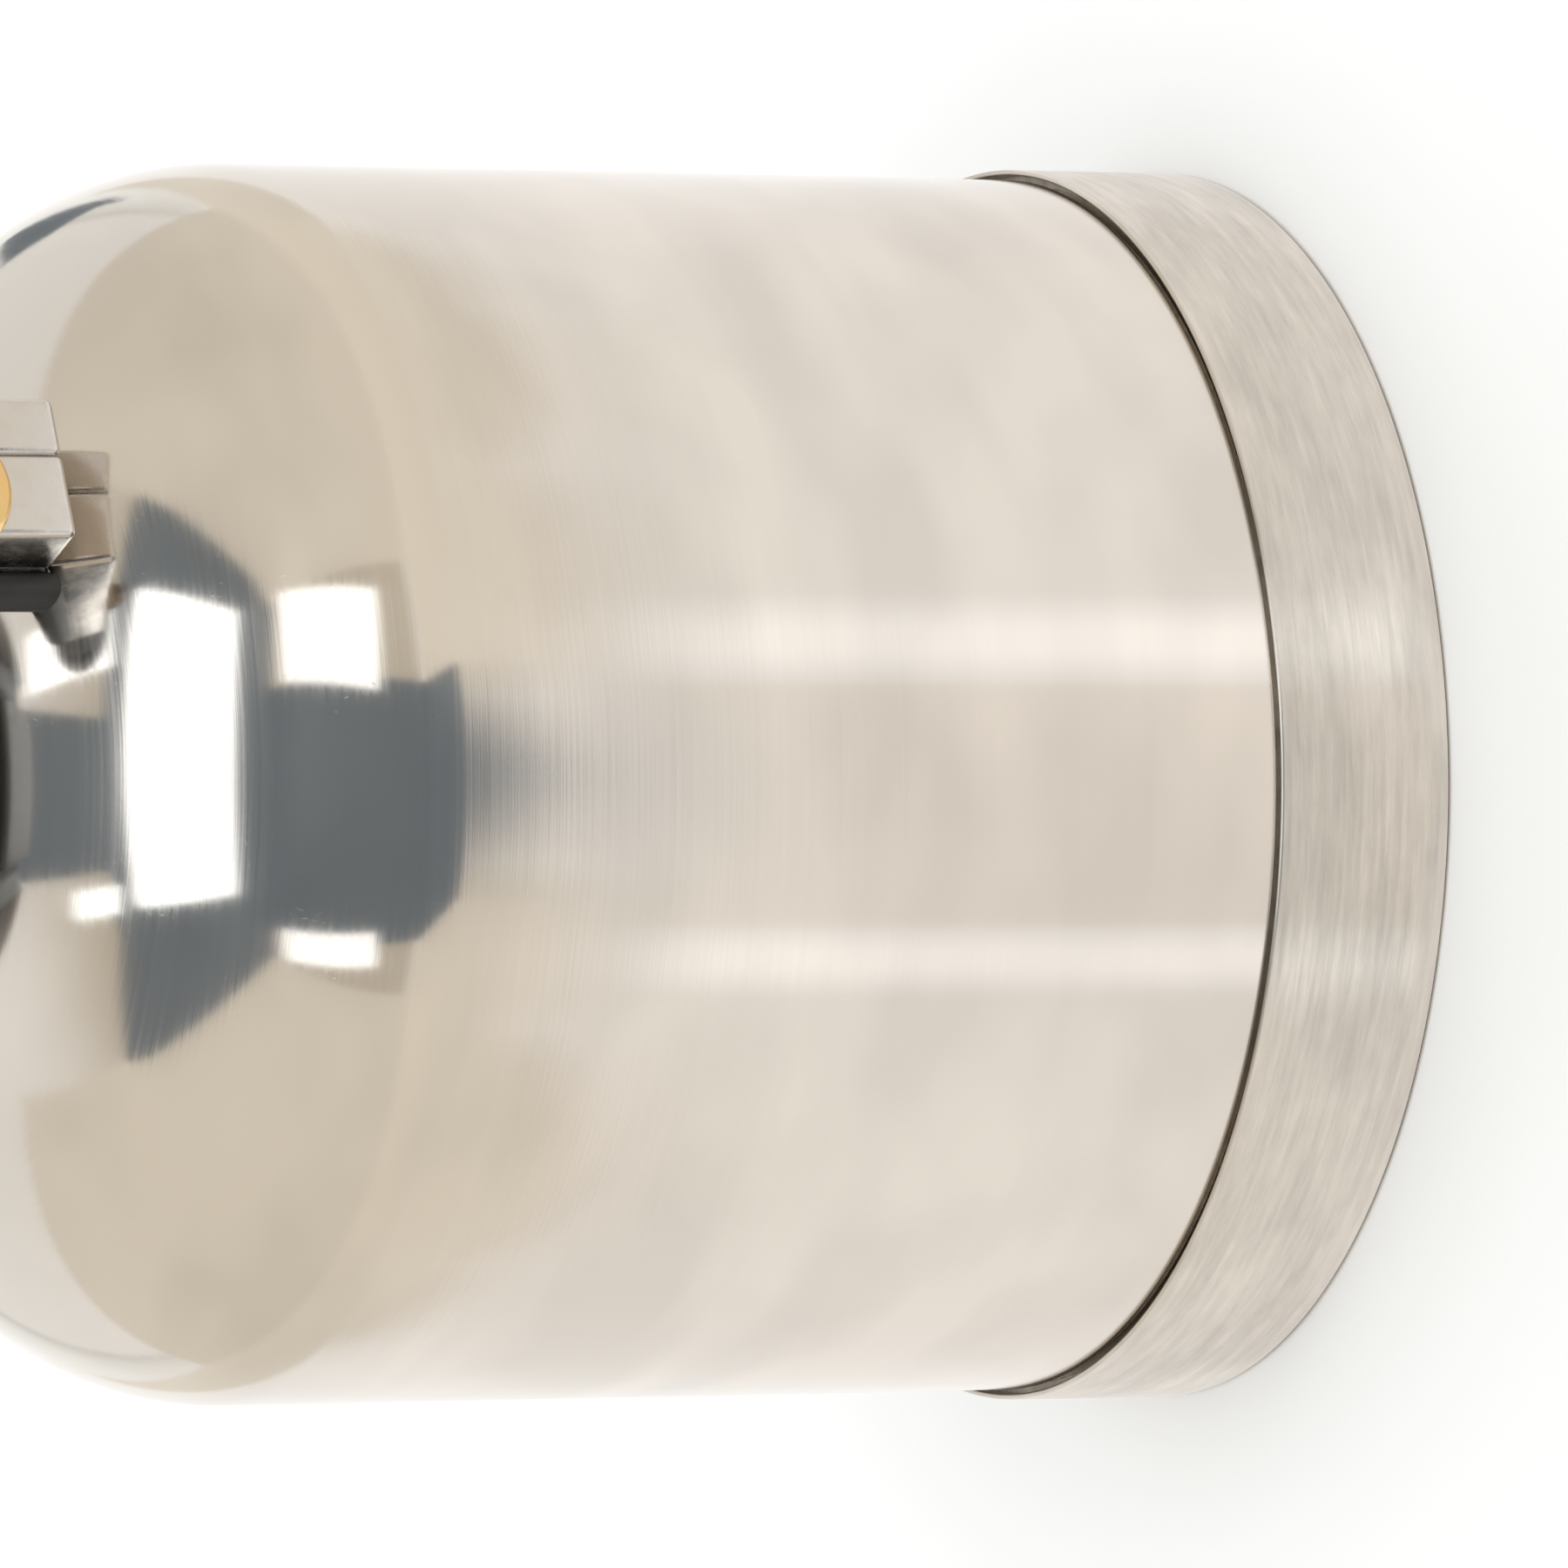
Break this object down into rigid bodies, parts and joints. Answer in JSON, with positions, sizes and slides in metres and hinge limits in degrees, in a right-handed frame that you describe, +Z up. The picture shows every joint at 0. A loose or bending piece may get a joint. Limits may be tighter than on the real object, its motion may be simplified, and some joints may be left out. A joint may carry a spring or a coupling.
{
  "type": "resin pressure pot",
  "caption": "Domed stainless pressure pot on a foot skirt, with a screwed neck lid, carrying handle, gauge, air inlet regulator, relief valve and outlet ball valve.",
  "frame": {"origin": "centre of the foot skirt's underside, on the vessel's axis", "axes": "+Z up the vessel's axis, -Y towards the gauge's face"},
  "size_m": [0.2442, 0.2442, 0.3835],
  "materials": {
    "polished_steel": "polished",
    "brushed_steel": "brushed around",
    "weld_steel": "as welded",
    "turned_steel": "turned",
    "rod_steel": "satin",
    "gauge_steel": "polished",
    "nickel_plate": "plated",
    "chrome_ball": "mirror",
    "yellow_brass": "machined",
    "black_ring": "satin powder coat",
    "screw_steel": "zinc plated",
    "zinc_steel": "zinc plated",
    "spring_steel": "drawn",
    "black_rubber": "matt",
    "black_plastic": "moulded",
    "knob_plastic": "moulded",
    "white_ptfe": "smooth",
    "red_vinyl": "dipped",
    "clear_glass": "clear",
    "dial_white": "matt",
    "needle_black": "matt"
  },
  "bodies": {
    "tank": {"tank_shell": "polished_steel", "bottom_head": "polished_steel", "foot_skirt": "brushed_steel", "skirt_weld": "weld_steel", "neck_collar": "turned_steel", "lid_gasket": "black_rubber", "air_manifold": "nickel_plate", "manifold_bracket": "rod_steel", "bracket_screws": "screw_steel", "air_elbow": "black_plastic", "inlet_port": "yellow_brass", "diaphragm": "black_rubber", "regulator_bonnet": "black_plastic", "range_spring": "spring_steel", "outlet_boss": "turned_steel", "relief_boss": "turned_steel", "dip_tube": "rod_steel", "valve_body": "nickel_plate", "seat_rings": "white_ptfe", "gland_nut": "nickel_plate", "outlet_barb": "nickel_plate", "relief_body": "yellow_brass", "relief_cap": "yellow_brass", "relief_spring": "spring_steel"},
    "lid": {"lid_plate": "turned_steel", "lid_handle": "rod_steel", "handle_grip": "black_rubber", "gauge_stem": "yellow_brass", "gauge_case": "gauge_steel", "gauge_bezel": "gauge_steel", "gauge_lens": "clear_glass", "gauge_dial": "dial_white", "gauge_movement": "yellow_brass"},
    "ring": {"lock_ring": "black_ring"},
    "needle": {"gauge_needle": "needle_black"},
    "check": {"check_poppet": "white_ptfe"},
    "seat": {"spring_seat": "yellow_brass"},
    "knob": {"regulator_knob": "knob_plastic"},
    "lever": {"valve_ball": "chrome_ball", "valve_stem": "rod_steel", "valve_lever": "zinc_steel", "lever_nut": "screw_steel", "lever_grip": "red_vinyl"},
    "poppet": {"relief_poppet": "rod_steel"},
    "pull": {"pull_ring": "spring_steel"}
  },
  "joints": [
    {"name": "lid_lift", "type": "slide", "parent": "tank", "child": "lid", "axis": [0, 0, 1], "range_m": [0, 0.018]},
    {"name": "ring_turn", "type": "hinge", "parent": "lid", "child": "ring", "pos_m": [0, 0, 0.3], "axis": [0, 0, 1], "range_deg": [0, 1085]},
    {"name": "needle_turn", "type": "hinge", "parent": "lid", "child": "needle", "pos_m": [0, -0.021, 0.356], "axis": [0, 1, 0], "range_deg": [0, 270], "stiffness_Nm_per_rad": 0.0003, "springref_deg": -17.19},
    {"name": "check_slide", "type": "slide", "parent": "tank", "child": "check", "axis": [-0.4384, 0.8988, 0], "range_m": [0, 0.003]},
    {"name": "knob_turn", "type": "hinge", "parent": "tank", "child": "knob", "pos_m": [0.05624, -0.0672, 0.349], "axis": [0, 0, 1], "range_deg": [-725, 0]},
    {"name": "seat_advance", "type": "slide", "parent": "tank", "child": "seat", "axis": [0, 0, -1], "range_m": [0, 0.0025], "deforming": ["range_spring"]},
    {"name": "lever_turn", "type": "hinge", "parent": "tank", "child": "lever", "pos_m": [-0.062, 0.062, 0.292], "axis": [-0.7071, 0.7071, 0], "range_deg": [0, 90]},
    {"name": "relief_lift", "type": "slide", "parent": "tank", "child": "poppet", "axis": [0, 0, 1], "range_m": [0, 0.003], "stiffness_N_per_m": 800, "springref_m": -0.004, "deforming": ["relief_spring"]},
    {"name": "pull_swing", "type": "hinge", "parent": "poppet", "child": "pull", "pos_m": [0.062, 0.062, 0.307], "axis": [1, 0, 0], "range_deg": [0, 140]}
  ],
  "couplings": [
    {"joint": "ring_turn", "follows": "lid_lift", "rad_per_m": 1047.2},
    {"joint": "knob_turn", "follows": "seat_advance", "rad_per_m": -5026.5}
  ]
}
